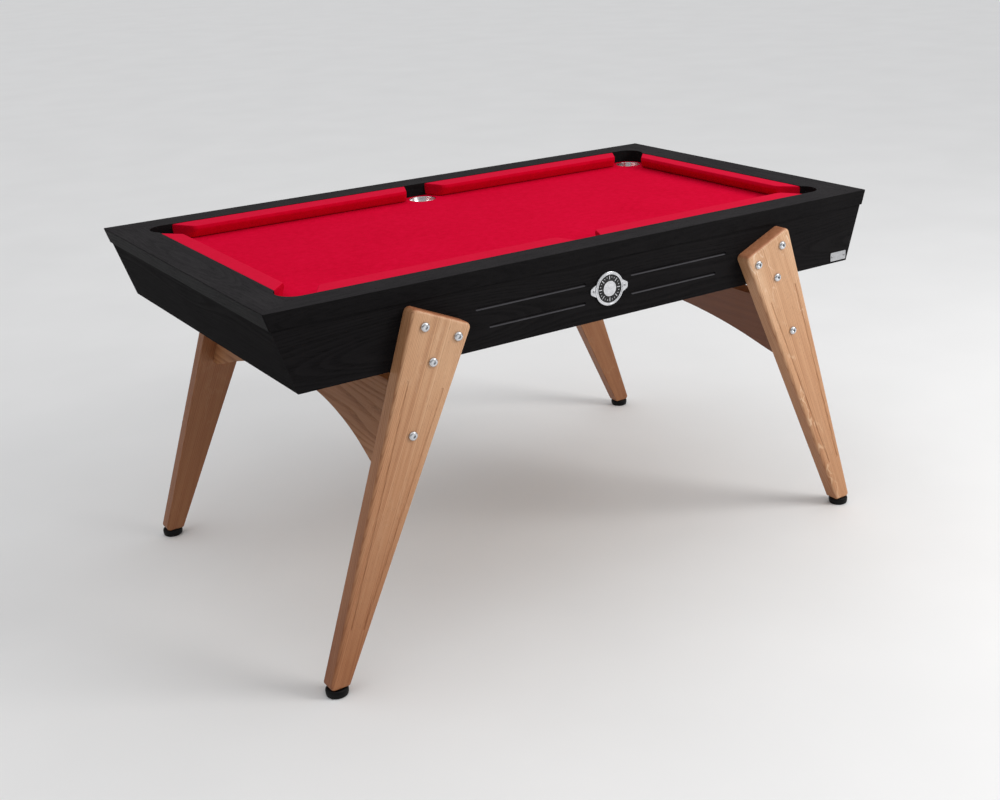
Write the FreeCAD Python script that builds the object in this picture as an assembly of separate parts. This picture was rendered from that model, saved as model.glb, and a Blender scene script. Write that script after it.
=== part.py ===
import FreeCAD, Part
import math
import os

os.makedirs("parts", exist_ok=True)
V = FreeCAD.Vector

# A compact six-pocket pool table: a black stained cabinet with sloped ends, a
# flat top frame, cloth-covered cushions, splayed oak legs bolted to the long
# sides, one arched oak brace per end and four levelling feet.
# Millimetres. +X along the table, +Y across it, +Z up, origin on the floor
# under the middle of the table.

# ---------------------------------------------------------------- dimensions
TOP_L = 1590.0        # top frame, length at its upper edge
TOP_W = 910.0         # top frame, width
TOP_Z = 820.0         # height of the top frame above the floor
RAIL_T = 35.0         # thickness of the top frame
RAIL_END_IN = 11.0    # how far the frame's sloped end face runs in over RAIL_T
RAIL_Z = TOP_Z - RAIL_T
RAIL_IN_X = 709.0     # inner edge of the end rails
RAIL_IN_Y = 385.0     # inner edge of the long rails

CAB_Z0 = 650.0        # underside of the cabinet
CAB_Z1 = RAIL_Z       # top of the cabinet
CAB_Y = 451.0         # outer face of the long aprons
CAB_X1 = 780.5        # outer face of the end aprons at the top
CAB_X0 = 738.2        # outer face of the end aprons at the bottom
APRON_T = 18.0        # thickness of the apron boards
SLOPE = (CAB_X1 - CAB_X0) / (CAB_Z1 - CAB_Z0)
END_T = APRON_T * math.sqrt(1.0 + SLOPE * SLOPE)   # end apron, along X

BED_Z = 788.0         # playing surface, top of the cloth
CLOTH_T = 1.0
BED_T = 19.0
BED_X = 750.0
BED_Y = 424.0
BED_Z1 = BED_Z - CLOTH_T
BED_Z0 = BED_Z1 - BED_T

CORNER = (680.0, 345.0)   # corner pocket centre
MIDDLE = (0.0, 347.0)     # middle pocket centre
HOLE_R = 36.0             # hole in the bed board
POCKET_R = 40.0           # round wall of a corner pocket in the top frame
RING_Z0 = 748.0
CUP_R = 37.4              # inside of the cup below the bed
CUP_T = 2.6
CUP_Z0 = 672.0
CUP_FLANGE_R = 48.0

CUSH_TOP = 819.6
CUSH_NOSE_X = 666.0       # nose of the end cushions
CUSH_NOSE_Y = 328.0       # nose of the long cushions
CUSH_UNDER = 14.0         # how far the face runs back under the nose
CUSH_NOSE_Z = 811.0       # height of the nose
CUSH_TOP_R = 4.5          # rounding of the nose into the flat top
CUSH_CORNER_LONG = 18.0   # rounding of the nose into the jaws, long cushions
CUSH_CORNER_END = 12.0    # the same on the end cushions
SUB_T = 20.0              # wooden strip behind the rubber
SUB_TOP = 817.6

LEG_T = 38.0              # leg thickness, across the table
LEG_TOP_OUT = (500.0, 781.0)
LEG_TOP_IN = (370.5, 724.0)
LEG_BOT_OUT = (752.0, 18.0)
LEG_BOT_IN = (706.0, 18.0)
LEG_EASE = 7.0            # round-over of the outer edges
GROOVE_D = 1.7            # depth of the two flutes in each leg
FLUTE_R = 4.0             # radius of the cutter that made them
BOLTS = [(479.3, 739.6), (406.0, 705.2), (466.6, 664.4)]   # into the cabinet
BRACE_BOLT = (522.9, 522.2)
BOLT_R = 4.0
HEAD_R = 10.0
HEAD_H = 6.0

BRACE_T = 38.0
BRACE_TILT = math.radians(21.8)
BRACE_TOP = 606.0
BRACE_LOW = 441.0
BRACE_MID = 518.0

FOOT_X = 729.0
FOOT_Y = CAB_Y + LEG_T / 2.0
FOOT_R = 24.0
FOOT_H = 17.4
STUD_R = 5.0
STUD_TOP = 54.0


# ------------------------------------------------------------------- helpers
def box(x0, x1, y0, y1, z0, z1):
    return Part.makeBox(x1 - x0, y1 - y0, z1 - z0, V(x0, y0, z0))


def cyl(r, p0, p1):
    d = p1 - p0
    return Part.makeCylinder(r, d.Length, p0, d)


def zcyl(r, x, y, z0, z1):
    return Part.makeCylinder(r, z1 - z0, V(x, y, z0), V(0, 0, 1))


def rounded(points, radii):
    """Closed outline through 2D points with a radius at each corner, as a
    list of ('line', a, b) and ('arc', a, m, b) pieces."""
    n = len(points)
    out = []
    cut = []
    for i in range(n):
        p = V(points[i][0], points[i][1], 0)
        a = V(points[i - 1][0], points[i - 1][1], 0)
        b = V(points[(i + 1) % n][0], points[(i + 1) % n][1], 0)
        r = radii[i]
        if r <= 0:
            cut.append((p, None, p))
            continue
        u = (a - p).normalize()
        w = (b - p).normalize()
        half = math.acos(max(-1.0, min(1.0, u.dot(w)))) / 2.0
        t = r / math.tan(half)
        c = p + (u + w).normalize() * (r / math.sin(half))
        m = c + (p - c).normalize() * r
        cut.append((p + u * t, m, p + w * t))
    for i in range(n):
        start, mid, end = cut[i]
        if mid is not None:
            out.append(("arc", start, mid, end))
        nxt = cut[(i + 1) % n][0]
        if (nxt - end).Length > 1e-6:
            out.append(("line", end, nxt))
    return out


def wire(pieces, place):
    """Turn the 2D pieces into a wire, with place(u, v) giving each point."""
    edges = []
    for piece in pieces:
        pts = [place(p.x, p.y) for p in piece[1:]]
        if piece[0] == "line":
            edges.append(Part.LineSegment(pts[0], pts[1]).toShape())
        else:
            edges.append(Part.Arc(pts[0], pts[1], pts[2]).toShape())
    return Part.Wire(edges)


def prism(points, radii, place, sweep):
    return Part.Face(wire(rounded(points, radii), place)).extrude(sweep)


def polygon_solid(points, sweep):
    return Part.Face(Part.makePolygon(points + [points[0]])).extrude(sweep)


def loft(lower, upper):
    """Solid between two four-cornered outlines."""
    return Part.makeLoft([Part.makePolygon(lower + [lower[0]]),
                          Part.makePolygon(upper + [upper[0]])], True, True)


def mx(s):
    return s.mirror(V(0, 0, 0), V(1, 0, 0))


def my(s):
    return s.mirror(V(0, 0, 0), V(0, 1, 0))


def solid(s):
    s = s.removeSplitter() if hasattr(s, "removeSplitter") else s
    solids = s.Solids
    return solids[0] if len(solids) == 1 else Part.makeCompound(solids)


def save(name, s):
    s = solid(s)
    if not s.isValid():
        s.fix(0.01, 0.01, 0.01)
    print(name, len(s.Solids), "valid" if s.isValid() else "INVALID",
          round(s.Volume / 1000.0, 1))
    s.exportStep("parts/" + name + ".step")


CORNERS = [(sx * CORNER[0], sy * CORNER[1]) for sx in (-1, 1) for sy in (-1, 1)]
POCKETS = {
    "front_left": (-CORNER[0], -CORNER[1]),
    "front_middle": (MIDDLE[0], -MIDDLE[1]),
    "front_right": (CORNER[0], -CORNER[1]),
    "back_left": (-CORNER[0], CORNER[1]),
    "back_middle": (MIDDLE[0], MIDDLE[1]),
    "back_right": (CORNER[0], CORNER[1]),
}

# screws that hold the top frame down through the bed board
RAIL_SCREWS = [(sx * x, sy * 405.0) for x in (120.0, 345.0, 560.0)
               for sx in (-1, 1) for sy in (-1, 1)]
RAIL_SCREWS += [(sx * 722.0, y) for sx in (-1, 1) for y in (-170.0, 0.0, 170.0)]

# ----------------------------------------------------------------- top frame
hl = TOP_L / 2.0
hw = TOP_W / 2.0
frame = loft(
    [V(-hl + RAIL_END_IN, -hw, RAIL_Z), V(hl - RAIL_END_IN, -hw, RAIL_Z),
     V(hl - RAIL_END_IN, hw, RAIL_Z), V(-hl + RAIL_END_IN, hw, RAIL_Z)],
    [V(-hl, -hw, TOP_Z), V(hl, -hw, TOP_Z), V(hl, hw, TOP_Z), V(-hl, hw, TOP_Z)])
frame = frame.makeFillet(3.0, [e for e in frame.Edges if e.BoundBox.ZLength > 10])
frame = frame.makeFillet(1.6, [e for e in frame.Edges
                               if e.BoundBox.ZMin > TOP_Z - 0.01])
frame = frame.cut(box(-RAIL_IN_X, RAIL_IN_X, -RAIL_IN_Y, RAIL_IN_Y, RAIL_Z - 1, TOP_Z + 1))
fills = []
for sx in (-1, 1):
    for sy in (-1, 1):
        x0, x1 = sorted((sx * CORNER[0], sx * (RAIL_IN_X + 20)))
        y0, y1 = sorted((sy * CORNER[1], sy * (RAIL_IN_Y + 10)))
        fills.append(box(x0, x1, y0, y1, RAIL_Z, TOP_Z))
frame = frame.fuse(fills)
for (x, y) in CORNERS:
    frame = frame.cut(zcyl(POCKET_R, x, y, RAIL_Z - 1, TOP_Z + 1))
# rebate that the bed and its cloth sit in
frame = frame.cut(box(-BED_X - 2, BED_X + 2, -BED_Y - 1, BED_Y + 1, RAIL_Z - 1, BED_Z))
for (x, y) in RAIL_SCREWS:
    frame = frame.cut(zcyl(2.25, x, y, RAIL_Z - 1, 808.0))
frame = frame.removeSplitter()

# the frame is mitred from its inner to its outer corners
dx = hl - RAIL_IN_X
dy = hw - RAIL_IN_Y
far_y = RAIL_IN_Y + dy * 3.0
near_y = 250.0


def mitre_x(y):
    return RAIL_IN_X + dx * (y - RAIL_IN_Y) / dy


def wedge(sy):
    pts = [V(-mitre_x(far_y), sy * far_y, RAIL_Z - 5), V(mitre_x(far_y), sy * far_y, RAIL_Z - 5),
           V(mitre_x(near_y), sy * near_y, RAIL_Z - 5), V(-mitre_x(near_y), sy * near_y, RAIL_Z - 5)]
    return polygon_solid(pts, V(0, 0, RAIL_T + 10))


rail_front = frame.common(wedge(-1))
rail_back = frame.common(wedge(1))
ends = frame.cut(wedge(-1)).cut(wedge(1))
parts_x = sorted(ends.Solids, key=lambda s: s.CenterOfMass.x)
save("rail_front", rail_front)
save("rail_back", rail_back)
save("rail_left", parts_x[0])
save("rail_right", parts_x[-1])

# ------------------------------------------------------------------- cabinet
ci = CAB_Y - APRON_T
xi0 = CAB_X0 - END_T
xi1 = CAB_X1 - END_T


def x_in(z):
    return xi0 + (z - CAB_Z0) * SLOPE


def flute(p1, p2, r, out, face):
    """Cutter for a round-bottomed groove between two XZ points: a round-ended
    bar whose axis lies a little outside the face at y = face."""
    a = V(p1[0], face - out, p1[1])
    b = V(p2[0], face - out, p2[1])
    d = (b - a).normalize()
    o = V(0, -1, 0)
    q = math.sqrt(0.5) * r
    outline = Part.Wire([
        Part.Arc(a - d * r, a - d * q + o * q, a + o * r).toShape(),
        Part.LineSegment(a + o * r, b + o * r).toShape(),
        Part.Arc(b + o * r, b + d * q + o * q, b + d * r).toShape(),
        Part.LineSegment(b + d * r, a - d * r).toShape()])
    return Part.Face(outline).revolve(a, d, 360).Solids[0]


long_apron = loft(
    [V(-CAB_X0, -CAB_Y, CAB_Z0), V(CAB_X0, -CAB_Y, CAB_Z0), V(xi0, -ci, CAB_Z0), V(-xi0, -ci, CAB_Z0)],
    [V(-CAB_X1, -CAB_Y, CAB_Z1), V(CAB_X1, -CAB_Y, CAB_Z1), V(xi1, -ci, CAB_Z1), V(-xi1, -ci, CAB_Z1)])
long_apron = long_apron.makeFillet(2.0, [e for e in long_apron.Edges
                                         if e.BoundBox.YMax < -CAB_Y + 0.01 and e.BoundBox.ZMax < CAB_Z0 + 0.01])
cuts = []
for s in (-1, 1):
    cuts.append(flute((s * 65.0, 738.0), (s * 335.0, 738.0), 4.2, 0.9, -CAB_Y))
    cuts.append(flute((s * 66.0, 696.0), (s * 304.0, 696.0), 4.2, 0.9, -CAB_Y))
    for (x, z) in BOLTS:
        cuts.append(cyl(BOLT_R + 0.3, V(s * x, -CAB_Y - 2, z), V(s * x, -ci + 2, z)))
long_apron = long_apron.cut(cuts)
apron_front = long_apron
apron_back = my(long_apron)

BADGE = (0.0, 718.5)
LUG_X = 42.0
PLATE = (709.5, 666.4)
PLATE_W = 52.0
PLATE_H = 21.5
PLATE_SCREWS = [(PLATE[0] - 20.0, PLATE[1]), (PLATE[0] + 20.0, PLATE[1])]
for (x, z) in [(-LUG_X, BADGE[1]), (LUG_X, BADGE[1])] + PLATE_SCREWS:
    apron_front = apron_front.cut(cyl(1.5, V(x, -CAB_Y - 1, z), V(x, -CAB_Y + 10.0, z)))
save("apron_front", apron_front)
save("apron_back", apron_back)

end_apron = loft(
    [V(CAB_X0, -CAB_Y, CAB_Z0), V(CAB_X0, CAB_Y, CAB_Z0), V(xi0, ci, CAB_Z0), V(xi0, -ci, CAB_Z0)],
    [V(CAB_X1, -CAB_Y, CAB_Z1), V(CAB_X1, CAB_Y, CAB_Z1), V(xi1, ci, CAB_Z1), V(xi1, -ci, CAB_Z1)])
end_apron = end_apron.makeFillet(2.0, [e for e in end_apron.Edges
                                       if e.BoundBox.XMin > CAB_X0 - 0.01 and e.BoundBox.ZMax < CAB_Z0 + 0.01])
save("apron_right", end_apron)
save("apron_left", mx(end_apron))

# glue blocks in the four corners of the cabinet
block = polygon_solid([V(700, 411, 655), V(x_in(655), 411, 655), V(x_in(765), 411, 765), V(700, 411, 765)],
                      V(0, ci - 411.0, 0))
save("corner_blocks", Part.makeCompound([block, mx(block), my(block), mx(my(block))]))

# blocks behind the legs that the leg bolts screw into
lb = box(380.0, 505.0, 411.0, ci, 655.0, 765.0)
for (x, z) in BOLTS:
    lb = lb.cut(cyl(5.5, V(x, 410, z), V(x, ci + 1, z)))
save("leg_blocks", Part.makeCompound([lb, mx(lb), my(lb), mx(my(lb))]))

# cross beams and end cleats that carry the bed
for name, x in (("bed_beam_left", -240.0), ("bed_beam_right", 240.0)):
    save(name, box(x - 11.0, x + 11.0, -ci, ci, BED_Z0 - 60.0, BED_Z0))
cleat = polygon_solid([V(733, -410, BED_Z0 - 30), V(x_in(BED_Z0 - 30), -410, BED_Z0 - 30),
                       V(x_in(BED_Z0), -410, BED_Z0), V(733, -410, BED_Z0)], V(0, 820.0, 0))
save("end_cleat_right", cleat)
save("end_cleat_left", mx(cleat))

# ----------------------------------------------------------------------- bed
bed = box(-BED_X, BED_X, -BED_Y, BED_Y, BED_Z0, BED_Z1)
cloth = box(-BED_X + 2, BED_X - 2, -BED_Y + 2, BED_Y - 2, BED_Z1, BED_Z)
for (x, y) in POCKETS.values():
    bed = bed.cut(zcyl(HOLE_R, x, y, BED_Z0 - 1, BED_Z1 + 1))
    cloth = cloth.cut(zcyl(HOLE_R - 1.2, x, y, BED_Z1 - 1, BED_Z + 1))
for (x, y) in RAIL_SCREWS:
    bed = bed.cut(zcyl(2.6, x, y, BED_Z0 - 1, BED_Z1 + 1))
    cloth = cloth.cut(zcyl(2.6, x, y, BED_Z1 - 1, BED_Z + 1))
save("bed_board", bed)
save("bed_cloth", cloth)

screws = []
for (x, y) in RAIL_SCREWS:
    s = zcyl(2.25, x, y, BED_Z0 - 1.0, 807.5).fuse(zcyl(5.0, x, y, BED_Z0 - 3.2, BED_Z0))
    s = s.makeChamfer(1.0, [e for e in s.Edges if e.BoundBox.ZMax < BED_Z0 - 3.1 and e.BoundBox.XLength > 9])
    s = s.cut(box(x - 4, x + 4, y - 0.6, y + 0.6, BED_Z0 - 4, BED_Z0 - 1.8))
    s = s.cut(box(x - 0.6, x + 0.6, y - 4, y + 4, BED_Z0 - 4, BED_Z0 - 1.8))
    screws.append(s.Solids[0])
save("rail_screws", Part.makeCompound(screws))

# ------------------------------------------------------------------- pockets
def liner(x, y):
    """Spun steel liner: a rounded lip that narrows into a straight throat."""
    top = BED_Z1 - 0.6
    inner = [(34.3, top - 0.5), (33.0, top - 7.0), (30.4, top - 17.0), (28.9, top - 27.0), (28.6, RING_Z0)]
    outer = [(30.6, RING_Z0), (31.0, top - 27.4), (32.6, top - 17.6), (35.1, top - 7.4), (HOLE_R - 0.05, top - 1.2)]
    a = Part.BSplineCurve()
    a.interpolate([V(r, 0, z) for (r, z) in inner])
    b = Part.BSplineCurve()
    b.interpolate([V(r, 0, z) for (r, z) in outer])
    lip = Part.Arc(V(outer[-1][0], 0, outer[-1][1]), V(35.4, 0, top), V(inner[0][0], 0, inner[0][1]))
    foot = Part.LineSegment(V(inner[-1][0], 0, RING_Z0), V(outer[0][0], 0, RING_Z0))
    w = Part.Wire(Part.__sortEdges__([a.toShape(), foot.toShape(), b.toShape(), lip.toShape()]))
    s = Part.Face(w).revolve(V(0, 0, 0), V(0, 0, 1), 360)
    s.translate(V(x, y, 0))
    return s.Solids[0] if s.Solids else s


rings = []
for name, (x, y) in POCKETS.items():
    rings.append(liner(x, y))
    cup = zcyl(CUP_R + CUP_T, x, y, CUP_Z0, BED_Z0)
    cup = cup.makeFillet(8.0, [e for e in cup.Edges if e.BoundBox.ZMax < CUP_Z0 + 0.1 and e.BoundBox.XLength > 60])
    inner = zcyl(CUP_R, x, y, CUP_Z0 + CUP_T, BED_Z0 + 1)
    inner = inner.makeFillet(5.5, [e for e in inner.Edges
                                   if e.BoundBox.ZMax < CUP_Z0 + CUP_T + 0.1 and e.BoundBox.XLength > 60])
    cup = cup.fuse(zcyl(CUP_FLANGE_R, x, y, BED_Z0 - 3.0, BED_Z0)).cut(inner)
    cup = cup.cut(zcyl(11.0, x, y, CUP_Z0 - 1, CUP_Z0 + CUP_T + 1))
    save("pocket_cup_" + name, cup)
save("pocket_rings", Part.makeCompound(rings))


# ------------------------------------------------------------------ cushions
def cushion(t0_back, t0_nose, t1_nose, t1_back, width, corner):
    """A cushion and its wooden strip in local axes: t along the rail, u from
    the rail towards the bed, z up."""
    def outline(u_nose, top):
        def jaw(tb, tn, u):
            return tb + (tn - tb) * u / width
        pts = [(t0_back, 0.0), (t1_back, 0.0),
               (jaw(t1_back, t1_nose, u_nose), u_nose), (jaw(t0_back, t0_nose, u_nose), u_nose)]
        return wire(rounded(pts, [0, 0, corner, corner]), lambda a, b: V(a, b, top))
    lower = Part.makeLoft([outline(width - CUSH_UNDER, BED_Z), outline(width, CUSH_NOSE_Z)], True, True)
    upper = Part.Face(outline(width, CUSH_NOSE_Z)).extrude(V(0, 0, CUSH_TOP - CUSH_NOSE_Z))
    upper = upper.makeFillet(CUSH_TOP_R, [e for e in upper.Edges if e.BoundBox.ZMin > CUSH_TOP - 0.01
                                          and e.BoundBox.YMax > 0.5])
    body = lower.fuse(upper)
    inset = 5.0

    def jaw_at(tb, tn, u):
        return tb + (tn - tb) * u / width
    pts = [V(t0_back + inset, 0, BED_Z), V(t1_back - inset, 0, BED_Z),
           V(jaw_at(t1_back, t1_nose, SUB_T) - inset, SUB_T, BED_Z),
           V(jaw_at(t0_back, t0_nose, SUB_T) + inset, SUB_T, BED_Z)]
    strip = polygon_solid(pts, V(0, 0, SUB_TOP - BED_Z))
    return body.cut(strip), strip


wy = RAIL_IN_Y - CUSH_NOSE_Y
wx = RAIL_IN_X - CUSH_NOSE_X
# long cushion on the back rail, right of the middle pocket; u points to -Y
c, s = cushion(30.0, 55.0, 620.0, 655.0, wy, CUSH_CORNER_LONG)
c_br = my(c)
c_br.translate(V(0, RAIL_IN_Y, 0))
s_br = my(s)
s_br.translate(V(0, RAIL_IN_Y, 0))
save("cushion_back_right", c_br)
save("cushion_back_left", mx(c_br))
save("cushion_front_right", my(c_br))
save("cushion_front_left", mx(my(c_br)))
save("cushion_strips_back", Part.makeCompound([s_br, mx(s_br)]))
save("cushion_strips_front", Part.makeCompound([my(s_br), mx(my(s_br))]))

# end cushion: built along X, then turned to lie along Y
c, s = cushion(-315.0, -268.0, 268.0, 315.0, wx, CUSH_CORNER_END)
for name, sh in (("cushion_%s", c), ("cushion_strip_%s", s)):
    r = sh.copy()
    r.rotate(V(0, 0, 0), V(0, 0, 1), 90.0)      # u now points to -X
    r.translate(V(RAIL_IN_X, 0, 0))
    save(name % "right", r)
    save(name % "left", mx(r))

# ---------------------------------------------------------------------- legs
leg = prism([LEG_TOP_OUT, LEG_BOT_OUT, LEG_BOT_IN, LEG_TOP_IN], [12.0, 9.0, 6.0, 12.0],
            lambda a, b: V(a, -CAB_Y - LEG_T, b), V(0, LEG_T, 0))
leg = leg.makeFillet(LEG_EASE, [e for e in leg.Edges if e.BoundBox.YMax < -CAB_Y - LEG_T + 0.01])
leg = leg.makeFillet(2.0, [e for e in leg.Edges if e.BoundBox.YMin > -CAB_Y - 0.01])
cuts = [flute((526.0, 635.5), (695.0, 147.0), FLUTE_R, FLUTE_R - GROOVE_D, -CAB_Y - LEG_T),
        flute((449.5, 603.0), (668.0, 137.0), FLUTE_R, FLUTE_R - GROOVE_D, -CAB_Y - LEG_T)]
for (x, z) in BOLTS + [BRACE_BOLT]:
    cuts.append(cyl(BOLT_R + 0.3, V(x, -CAB_Y - LEG_T - 1, z), V(x, -CAB_Y + 1, z)))
cuts.append(zcyl(8.0, FOOT_X, -FOOT_Y, 10.0, 43.0))
cuts.append(zcyl(5.7, FOOT_X, -FOOT_Y, 40.0, 57.0))
leg = leg.cut(cuts)
save("leg_front_right", leg)
save("leg_front_left", mx(leg))
save("leg_back_right", my(leg))
save("leg_back_left", mx(my(leg)))


# -------------------------------------------------------------------- braces
def brace_x(z):
    return BRACE_BOLT[0] + (BRACE_BOLT[1] - z) * math.tan(BRACE_TILT)


half_x = BRACE_T / 2.0 / math.cos(BRACE_TILT)


def on_brace(y, z):
    return V(brace_x(z) - half_x, y, z)


low = [(-437.0, BRACE_LOW), (-412.0, 443.8), (-385.0, 451.6), (-334.0, 468.6), (-229.0, 495.4),
       (-115.0, 512.6), (0.0, BRACE_MID)]
low = low + [(-y, z) for (y, z) in reversed(low[:-1])]
curve = Part.BSplineCurve()
curve.interpolate([on_brace(y, z) for (y, z) in low])
e = [curve.toShape()]


def seg(a, b):
    return Part.LineSegment(on_brace(*a), on_brace(*b)).toShape()


def arc(a, mid, b):
    return Part.Arc(on_brace(*a), on_brace(*mid), on_brace(*b)).toShape()


cr = 14.0
e.append(arc((437.0, BRACE_LOW), (437.0 + cr * 0.7071, BRACE_LOW + cr * 0.2929), (451.0, BRACE_LOW + cr)))
e.append(seg((451.0, BRACE_LOW + cr), (451.0, BRACE_TOP)))
e.append(seg((451.0, BRACE_TOP), (-451.0, BRACE_TOP)))
e.append(seg((-451.0, BRACE_TOP), (-451.0, BRACE_LOW + cr)))
e.append(arc((-451.0, BRACE_LOW + cr), (-437.0 - cr * 0.7071, BRACE_LOW + cr * 0.2929), (-437.0, BRACE_LOW)))
brace = Part.Face(Part.Wire(Part.__sortEdges__(e))).extrude(V(2 * half_x, 0, 0))
brace = brace.makeFillet(2.5, [ed for ed in brace.Edges
                               if ed.BoundBox.YLength > 500 and ed.BoundBox.ZMin > BRACE_TOP - 1])
axis_n = V(math.cos(BRACE_TILT), 0, math.sin(BRACE_TILT))
nuts = []
for sy in (-1, 1):
    centre = V(BRACE_BOLT[0], sy * 422.0, BRACE_BOLT[1])
    a = centre - axis_n * 30.0
    b = centre + axis_n * 9.0
    shank = cyl(BOLT_R + 0.3, V(BRACE_BOLT[0], sy * 405.0, BRACE_BOLT[1]), V(BRACE_BOLT[0], sy * 452.0, BRACE_BOLT[1]))
    brace = brace.cut(cyl(6.0, a, b)).cut(shank)
    nut = cyl(6.0, centre - axis_n * 10.0, centre + axis_n * 9.0)
    nut = nut.cut(cyl(BOLT_R, V(BRACE_BOLT[0], sy * 400.0, BRACE_BOLT[1]), V(BRACE_BOLT[0], sy * 445.0, BRACE_BOLT[1])))
    nuts.append(nut.Solids[0])
save("brace_right", brace)
save("brace_left", mx(brace))
save("barrel_nuts", Part.makeCompound(nuts + [mx(n) for n in nuts]))


# ----------------------------------------------------------------- fasteners
def bolt(x, z, y_tip):
    """Button-head bolt in a front leg, from its head at the leg's outer face
    to its tip at y_tip."""
    face = -CAB_Y - LEG_T
    b = cyl(HEAD_R, V(x, face, z), V(x, face - HEAD_H, z))
    b = b.makeFillet(4.6, [ed for ed in b.Edges if ed.BoundBox.YMax < face - HEAD_H + 0.01])
    hexagon = [V(x + 4.4 * math.cos(math.radians(60 * k + 15)), face - HEAD_H - 1, z + 4.4 * math.sin(math.radians(60 * k + 15)))
               for k in range(6)]
    b = b.cut(polygon_solid(hexagon, V(0, 4.2, 0)))
    return b.fuse(cyl(BOLT_R, V(x, face - 1.0, z), V(x, y_tip, z))).removeSplitter().Solids[0]


bolts = [bolt(x, z, -413.0) for (x, z) in BOLTS] + [bolt(BRACE_BOLT[0], BRACE_BOLT[1], -412.0)]
bolts = bolts + [mx(b) for b in bolts]
bolts = bolts + [my(b) for b in bolts]
save("leg_bolts", Part.makeCompound(bolts))

inserts = []
for (x, z) in BOLTS:
    ins = cyl(5.5, V(x, -ci, z), V(x, -413.0, z)).cut(cyl(BOLT_R + 0.05, V(x, -ci - 1, z), V(x, -410, z)))
    inserts.append(ins.Solids[0])
inserts = inserts + [mx(b) for b in inserts]
inserts = inserts + [my(b) for b in inserts]
save("leg_inserts", Part.makeCompound(inserts))

# ------------------------------------------------------------ levelling feet
sleeves = []
for sx in (-1, 1):
    for sy in (-1, 1):
        sl = zcyl(8.0, sx * FOOT_X, sy * FOOT_Y, 18.0, 43.0).cut(zcyl(STUD_R + 0.05, sx * FOOT_X, sy * FOOT_Y, 10.0, 50.0))
        sleeves.append(sl.Solids[0])
save("foot_sleeves", Part.makeCompound(sleeves))


def revolve(profile, x, y):
    pts = [V(r, 0, z) for (r, z) in profile]
    s = Part.Face(Part.makePolygon(pts + [pts[0]])).revolve(V(0, 0, 0), V(0, 0, 1), 360)
    s.translate(V(x, y, 0))
    return s


for name, sx, sy in (("front_left", -1, -1), ("front_right", 1, -1), ("back_left", -1, 1), ("back_right", 1, 1)):
    x, y = sx * FOOT_X, sy * FOOT_Y
    stud = revolve([(0, 5.6), (7.5, 5.6), (7.5, 9.0), (6.0, 9.0), (6.0, 15.0), (STUD_R, 15.8),
                    (STUD_R, STUD_TOP - 1.5), (STUD_R - 1.5, STUD_TOP), (0, STUD_TOP)], x, y)
    save("foot_stud_" + name, stud)
    pad = revolve([(0, 0), (20.5, 0), (22.6, 1.6), (23.6, 5.0), (FOOT_R, 9.0), (FOOT_R, 13.0), (23.2, 15.6),
                   (21.0, FOOT_H), (6.05, FOOT_H), (6.05, 9.35), (7.8, 9.35), (7.8, 5.3), (0, 5.3)], x, y)
    save("foot_pad_" + name, pad)

# ------------------------------------------------------- badge and nameplate
yf = -CAB_Y


def disc(r, y0, y1, x=BADGE[0], z=BADGE[1]):
    return cyl(r, V(x, y0, z), V(x, y1, z))


badge = disc(38.0, yf, yf - 4.0)
badge = badge.makeFillet(1.2, [ed for ed in badge.Edges if ed.BoundBox.YMax < yf - 3.9])
lugs = []
for s in (-1, 1):
    lug = prism([(s * 30.0, BADGE[1] - 17.0), (s * 30.0, BADGE[1] + 17.0), (s * (LUG_X + 8.0), BADGE[1] + 6.0),
                 (s * (LUG_X + 8.0), BADGE[1] - 6.0)], [0, 0, 5.5, 5.5],
                lambda a, b: V(a, yf, b), V(0, -2.6, 0))
    lug = lug.cut(cyl(1.7, V(s * LUG_X, yf + 1, BADGE[1]), V(s * LUG_X, yf - 5, BADGE[1])))
    lugs.append(lug)
badge = badge.fuse(lugs).removeSplitter()
hollows = []
for ed in badge.Edges:
    bb = ed.BoundBox
    if bb.XLength < 0.01 and bb.ZLength < 0.01 and bb.YLength > 2.0 and 30.5 < abs(bb.XMin) < 37.9 and abs(bb.ZMin - BADGE[1]) > 10.0:
        hollows.append(ed)
badge = badge.makeFillet(4.0, hollows)
badge = badge.cut(disc(34.8, yf - 3.3, yf - 6.0).cut(disc(33.4, yf - 1.0, yf - 7.0)))
recess = disc(31.5, yf - 1.8, yf - 6.0).cut(disc(17.0, yf - 1.0, yf - 7.0))
badge = badge.cut(recess)
for s in (-1, 1):
    badge = badge.cut(cyl(1.7, V(s * LUG_X, yf + 1, BADGE[1]), V(s * LUG_X, yf - 5, BADGE[1])))
save("badge_body", badge)
inlay = disc(31.4, yf - 1.8, yf - 2.8).cut(disc(17.1, yf - 1.0, yf - 4.0))
save("badge_inlay", inlay)
ticks = []
for k in range(24):
    long_tick = (k % 3 == 0)
    r0, r1 = (20.5, 28.5) if long_tick else (24.0, 27.0)
    w = 1.6 if long_tick else 1.1
    t = box(r0, r1, 0.0, 0.5, -w / 2.0, w / 2.0)
    t.rotate(V(0, 0, 0), V(0, 1, 0), k * 15.0)
    t.translate(V(BADGE[0], yf - 3.3, BADGE[1]))
    ticks.append(t)
save("badge_ticks", Part.makeCompound(ticks))

plate = prism([(PLATE[0] - PLATE_W / 2, PLATE[1] - PLATE_H / 2), (PLATE[0] + PLATE_W / 2, PLATE[1] - PLATE_H / 2),
               (PLATE[0] + PLATE_W / 2, PLATE[1] + PLATE_H / 2), (PLATE[0] - PLATE_W / 2, PLATE[1] + PLATE_H / 2)],
              [2.0] * 4, lambda a, b: V(a, yf, b), V(0, -1.2, 0))
for (x, z) in PLATE_SCREWS:
    plate = plate.cut(cyl(1.7, V(x, yf + 1, z), V(x, yf - 3, z)))
save("nameplate", plate)

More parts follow.
